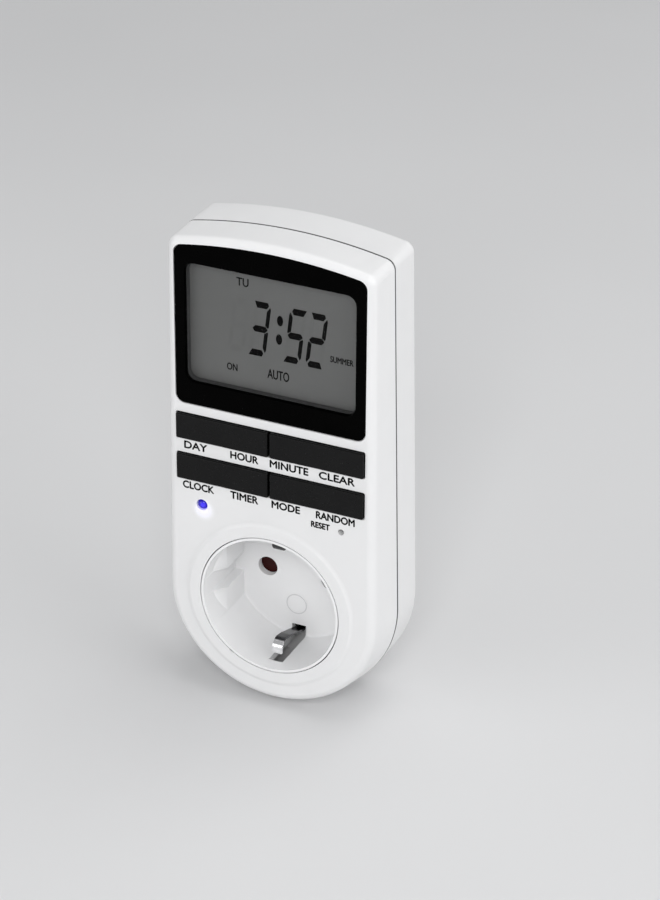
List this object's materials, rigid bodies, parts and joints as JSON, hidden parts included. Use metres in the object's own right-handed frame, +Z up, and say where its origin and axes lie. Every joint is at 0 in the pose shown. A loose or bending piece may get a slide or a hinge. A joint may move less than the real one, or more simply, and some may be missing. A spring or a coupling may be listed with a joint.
{
  "type": "plug-in programmable timer",
  "caption": "Plug-in digital timer with an earthed round-pin socket in front, a plug boss with pins behind, a display, rocker keys, a reset button and an indicator.",
  "frame": {"origin": "middle of the plug boss's end face, on the common axis of the plug and the socket", "axes": "+X to the right seen from the front, +Y along the plug axis into the wall, +Z up towards the display"},
  "size_m": [0.0646, 0.063, 0.1385],
  "materials": {
    "white_plastic": "fine satin moulded ABS",
    "gloss_black": "polished, printed black behind",
    "key_black": "satin",
    "dark_plastic": "satin",
    "lcd_glass": "grey reflective display glass",
    "grey_rubber": "matte silicone",
    "black_rubber": "matte layered rubber",
    "green_board": "solder-resist lacquer",
    "tan_board": "bare laminate",
    "epoxy_black": "glossy potting",
    "steel": "zinc plated",
    "plated_brass": "bright nickel plating",
    "brass": "stamped sheet",
    "nickel": "nickel plated turned pin",
    "shutter_brown": "satin",
    "led_blue": "clear tinted epoxy",
    "relay_blue": "satin moulding",
    "film_yellow": "satin moulding",
    "sleeve_dark": "shrink sleeve",
    "varistor_blue": "epoxy dip",
    "resistor_green": "lacquer",
    "wire_brown": "PVC insulation",
    "wire_blue": "PVC insulation",
    "plunger_ivory": "satin"
  },
  "bodies": {
    "case": {"front_shell": "white_plastic", "rear_shell": "white_plastic", "display_window": "gloss_black", "lcd_holder": "dark_plastic", "lcd_panel": "lcd_glass", "zebra_strip": "black_rubber", "control_board": "green_board", "controller_blob": "epoxy_black", "clock_crystal": "steel", "backup_cell": "steel", "indicator_led": "led_blue", "keypad_mat": "grey_rubber", "reset_switch": "dark_plastic", "board_screw_1": "steel", "board_screw_2": "steel", "board_screw_3": "steel", "power_board": "tan_board", "relay": "relay_blue", "dropper_capacitor": "film_yellow", "smoothing_capacitor": "sleeve_dark", "varistor": "varistor_blue", "fusible_resistor": "resistor_green", "bridge_rectifier": "epoxy_black", "board_link": "dark_plastic", "socket_insert": "white_plastic", "shutter_spring": "steel", "earth_bracket": "plated_brass", "live_contact": "brass", "neutral_contact": "brass", "live_pin": "nickel", "neutral_pin": "nickel", "live_wire": "wire_brown", "neutral_wire": "wire_blue", "case_screw_1": "steel", "case_screw_2": "steel", "case_screw_3": "steel", "case_screw_4": "steel"},
    "day_hour_key": {"key_day_hour": "key_black"},
    "minute_clear_key": {"key_minute_clear": "key_black"},
    "clock_timer_key": {"key_clock_timer": "key_black"},
    "mode_random_key": {"key_mode_random": "key_black"},
    "reset_button": {"reset_plunger": "plunger_ivory"},
    "socket_shutter": {"shutter": "shutter_brown"}
  },
  "joints": [
    {"name": "day_hour_key_rock", "type": "hinge", "parent": "case", "child": "day_hour_key", "pos_m": [-0.0138, -0.0408, 0.0492], "axis": [0, 0, 1], "range_deg": [-3, 3], "stiffness_Nm_per_rad": 0.25},
    {"name": "minute_clear_key_rock", "type": "hinge", "parent": "case", "child": "minute_clear_key", "pos_m": [0.0138, -0.0408, 0.0492], "axis": [0, 0, 1], "range_deg": [-3, 3], "stiffness_Nm_per_rad": 0.25},
    {"name": "clock_timer_key_rock", "type": "hinge", "parent": "case", "child": "clock_timer_key", "pos_m": [-0.0138, -0.0408, 0.03705], "axis": [0, 0, 1], "range_deg": [-3, 3], "stiffness_Nm_per_rad": 0.25},
    {"name": "mode_random_key_rock", "type": "hinge", "parent": "case", "child": "mode_random_key", "pos_m": [0.0138, -0.0408, 0.03705], "axis": [0, 0, 1], "range_deg": [-3, 3], "stiffness_Nm_per_rad": 0.25},
    {"name": "reset_press", "type": "slide", "parent": "case", "child": "reset_button", "axis": [0, 1, 0], "range_m": [0, 0.00025], "stiffness_N_per_m": 1500},
    {"name": "shutter_turn", "type": "hinge", "parent": "case", "child": "socket_shutter", "pos_m": [0, -0.0224, 0], "axis": [0, -1, 0], "range_deg": [0, 40], "stiffness_Nm_per_rad": 0.001, "springref_deg": -11.46, "deforming": ["shutter_spring"]}
  ]
}
